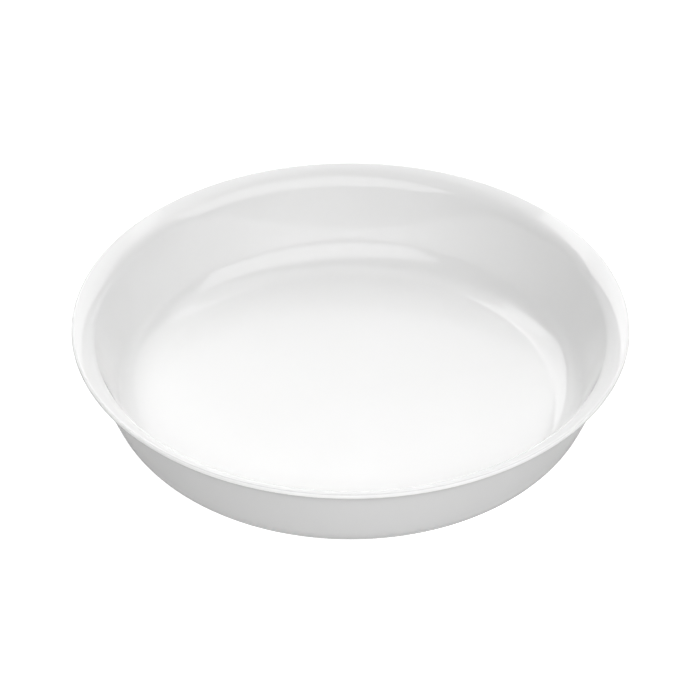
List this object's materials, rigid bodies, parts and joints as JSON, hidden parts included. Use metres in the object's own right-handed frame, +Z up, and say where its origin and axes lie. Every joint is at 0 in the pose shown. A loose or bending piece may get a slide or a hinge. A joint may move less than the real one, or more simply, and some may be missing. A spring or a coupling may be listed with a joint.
{
  "type": "evaporating dish",
  "caption": "Shallow round porcelain dish with a flat bottom, round corner and everted lip, glazed inside and out, bare on the rim's edge and foot.",
  "frame": {"origin": "centre of the foot's resting plane", "axes": "+Z up along the dish's axis of revolution, out of its mouth"},
  "size_m": [0.1, 0.1, 0.0194],
  "materials": {
    "bare_porcelain": "unglazed, fine-grained, matte",
    "inside_glaze": "clear gloss over white",
    "outside_glaze": "clear gloss over white"
  },
  "bodies": {
    "root": {"porcelain_body": "bare_porcelain", "inside_glaze": "inside_glaze", "outside_glaze": "outside_glaze"}
  },
  "joints": []
}
